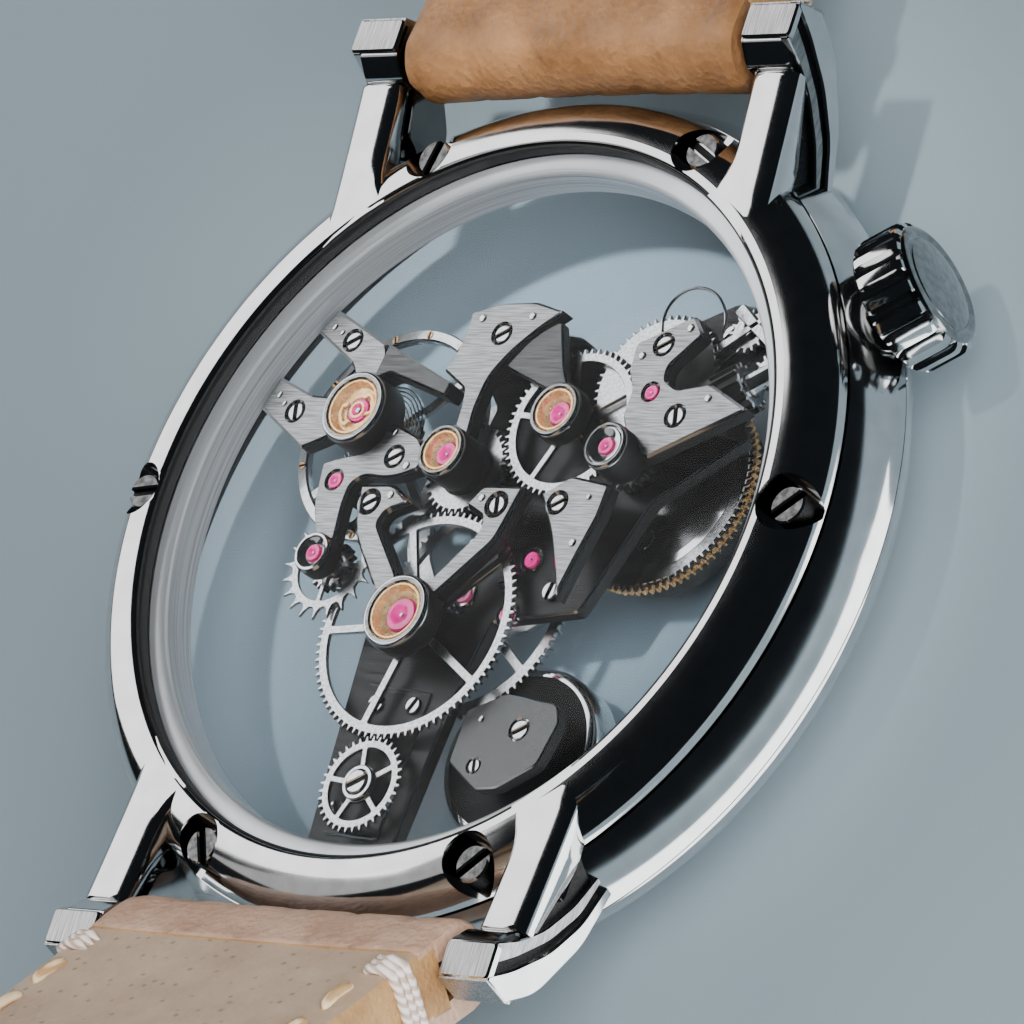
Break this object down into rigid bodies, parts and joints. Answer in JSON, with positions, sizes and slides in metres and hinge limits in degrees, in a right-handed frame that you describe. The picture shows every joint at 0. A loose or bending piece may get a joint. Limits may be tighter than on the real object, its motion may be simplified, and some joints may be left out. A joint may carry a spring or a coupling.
{
  "type": "wristwatch",
  "caption": "Round skeleton mechanical wristwatch with a see-through back, four lugs, a fluted off-axis crown and a two-piece leather strap with buckle.",
  "frame": {"origin": "middle of the flat outer face of the front crystal, which the watch lies on", "axes": "+Z out of the case back, -Y towards 12 o'clock and +Y towards 6 o'clock, +X towards 3 o'clock"},
  "size_m": [0.0433, 0.1855, 0.0862],
  "materials": {
    "polished_case": "polished platinum",
    "brushed_case": "brushed platinum",
    "steel": "polished and brushed steel",
    "dark_plate": "dark blasted plate",
    "bridge": "straight-brushed steel with polished bevels",
    "gold": "polished gold",
    "glass": "clear sapphire",
    "leather": "smooth leather with a pale nubuck lining"
  },
  "bodies": {
    "case": {"case_middle": "brushed_case", "back_ring": "polished_case", "ring_screw_1": "steel", "ring_screw_2": "steel", "ring_screw_3": "steel", "ring_screw_4": "steel", "ring_screw_5": "steel", "ring_screw_6": "steel", "inner_flange": "brushed_case", "rear_crystal": "glass", "front_bezel": "polished_case", "front_crystal": "glass", "crown_tube": "steel", "spring_bar_12": "steel", "spring_bar_6": "steel", "main_plate": "dark_plate", "balance_bridge": "bridge", "escapement_bridge": "bridge", "train_bridge": "bridge", "crescent_bridge": "bridge", "winding_bridge": "bridge", "barrel_bridge": "bridge", "barrel_2_bridge": "dark_plate", "balance_chaton": "gold", "centre_chaton": "gold", "upper_chaton": "gold", "lower_chaton": "gold", "hour_ring": "steel"},
    "winding_arbor": {"winding_pinion": "steel"},
    "crown": {"crown": "polished_case", "winding_stem": "steel"},
    "crown_wheel": {"crown_wheel": "steel"},
    "barrel_1": {"barrel_1": "brushed_case"},
    "barrel_2": {"barrel_2": "dark_plate"},
    "upper_wheel": {"upper_wheel": "steel"},
    "centre_wheel": {"centre_wheel": "steel"},
    "large_wheel": {"large_wheel": "steel"},
    "small_wheel": {"small_wheel": "steel"},
    "third_wheel": {"third_wheel": "steel"},
    "escape_wheel": {"escape_wheel": "steel"},
    "pallet_fork": {"pallet_fork": "steel"},
    "balance": {"balance_wheel": "steel", "hairspring": "steel"},
    "hour_hand": {"hour_hand": "steel"},
    "minute_hand": {"minute_hand": "steel"},
    "strap_long": {"strap_long": "leather"},
    "strap_short": {"strap_short": "leather", "keeper_fixed": "leather", "buckle_bar": "steel"},
    "keeper_loose": {"keeper_loose": "leather"},
    "buckle_frame": {"buckle_frame": "polished_case"},
    "buckle_tongue": {"buckle_tongue": "polished_case"}
  },
  "joints": [
    {"name": "crown_turn", "type": "hinge", "parent": "case", "child": "winding_arbor", "pos_m": [0, 0, 0.0057], "axis": [0.866, 0.5, 0], "continuous": true},
    {"name": "crown_pull", "type": "slide", "parent": "winding_arbor", "child": "crown", "axis": [0.866, 0.5, 0], "range_m": [0, 0.0012]},
    {"name": "crown_wheel_turn", "type": "hinge", "parent": "case", "child": "crown_wheel", "pos_m": [0.0067, 0.0071, 0.0056], "axis": [0, 0, 1], "continuous": true},
    {"name": "barrel_1_turn", "type": "hinge", "parent": "case", "child": "barrel_1", "pos_m": [0.00709, 0.00297, 0.003], "axis": [0, 0, 1], "continuous": true},
    {"name": "barrel_2_turn", "type": "hinge", "parent": "case", "child": "barrel_2", "pos_m": [0.004, -0.01, 0.003], "axis": [0, 0, 1], "continuous": true},
    {"name": "upper_wheel_turn", "type": "hinge", "parent": "case", "child": "upper_wheel", "pos_m": [0.00291, 0.00501, 0.00595], "axis": [0, 0, 1], "continuous": true},
    {"name": "centre_wheel_turn", "type": "hinge", "parent": "case", "child": "centre_wheel", "pos_m": [-0.00228, 0.00265, 0.0058], "axis": [0, 0, 1], "continuous": true},
    {"name": "large_wheel_turn", "type": "hinge", "parent": "case", "child": "large_wheel", "pos_m": [-0.00228, -0.00498, 0.00595], "axis": [0, 0, 1], "continuous": true},
    {"name": "small_wheel_turn", "type": "hinge", "parent": "case", "child": "small_wheel", "pos_m": [-0.00243, -0.01267, 0.00595], "axis": [0, 0, 1], "continuous": true},
    {"name": "third_wheel_turn", "type": "hinge", "parent": "case", "child": "third_wheel", "pos_m": [-0.00085, -0.00332, 0.0042], "axis": [0, 0, 1], "continuous": true},
    {"name": "escape_wheel_turn", "type": "hinge", "parent": "case", "child": "escape_wheel", "pos_m": [-0.00828, -0.00231, 0.006], "axis": [0, 0, 1], "continuous": true},
    {"name": "pallet_fork_rock", "type": "hinge", "parent": "case", "child": "pallet_fork", "pos_m": [-0.0088, 0.0014, 0.00595], "axis": [0, 0, 1], "range_deg": [-6, 6]},
    {"name": "balance_swing", "type": "hinge", "parent": "case", "child": "balance", "pos_m": [-0.00838, 0.00474, 0.0049], "axis": [0, 0, 1], "range_deg": [-150, 150], "stiffness_Nm_per_rad": 0.000001},
    {"name": "hour_hand_turn", "type": "hinge", "parent": "case", "child": "hour_hand", "pos_m": [-0.00228, 0.00265, 0.00156], "axis": [0, 0, 1], "continuous": true},
    {"name": "minute_hand_turn", "type": "hinge", "parent": "case", "child": "minute_hand", "pos_m": [-0.00228, 0.00265, 0.0012], "axis": [0, 0, 1], "continuous": true},
    {"name": "strap_long_hinge", "type": "hinge", "parent": "case", "child": "strap_long", "pos_m": [0, 0.0219, 0.0091], "axis": [1, 0, 0], "range_deg": [0, 75]},
    {"name": "strap_short_hinge", "type": "hinge", "parent": "case", "child": "strap_short", "pos_m": [0, -0.0219, 0.0091], "axis": [-1, 0, 0], "range_deg": [-35, 15]},
    {"name": "keeper_slide", "type": "hinge", "parent": "strap_short", "child": "keeper_loose", "pos_m": [0, 0.001, 0.04885], "axis": [-1, 0, 0], "range_deg": [-12, 11]},
    {"name": "buckle_frame_hinge", "type": "hinge", "parent": "strap_short", "child": "buckle_frame", "pos_m": [0, -0.036, 0.07476], "axis": [1, 0, 0], "range_deg": [-60, 0]},
    {"name": "buckle_tongue_hinge", "type": "hinge", "parent": "strap_short", "child": "buckle_tongue", "pos_m": [0, -0.036, 0.07476], "axis": [1, 0, 0], "range_deg": [0, 70]}
  ],
  "couplings": [
    {"joint": "crown_wheel_turn", "follows": "crown_turn", "ratio": 0.26923},
    {"joint": "upper_wheel_turn", "follows": "barrel_1_turn", "ratio": -0.31579},
    {"joint": "centre_wheel_turn", "follows": "barrel_1_turn", "ratio": 0.51429},
    {"joint": "large_wheel_turn", "follows": "barrel_1_turn", "ratio": -0.20455},
    {"joint": "small_wheel_turn", "follows": "barrel_1_turn", "ratio": 0.5},
    {"joint": "third_wheel_turn", "follows": "barrel_1_turn", "ratio": -0.077741},
    {"joint": "escape_wheel_turn", "follows": "barrel_1_turn", "ratio": 1},
    {"joint": "barrel_2_turn", "follows": "barrel_1_turn", "ratio": 1},
    {"joint": "minute_hand_turn", "follows": "barrel_1_turn", "ratio": 0.51429},
    {"joint": "hour_hand_turn", "follows": "barrel_1_turn", "ratio": 0.042857}
  ]
}
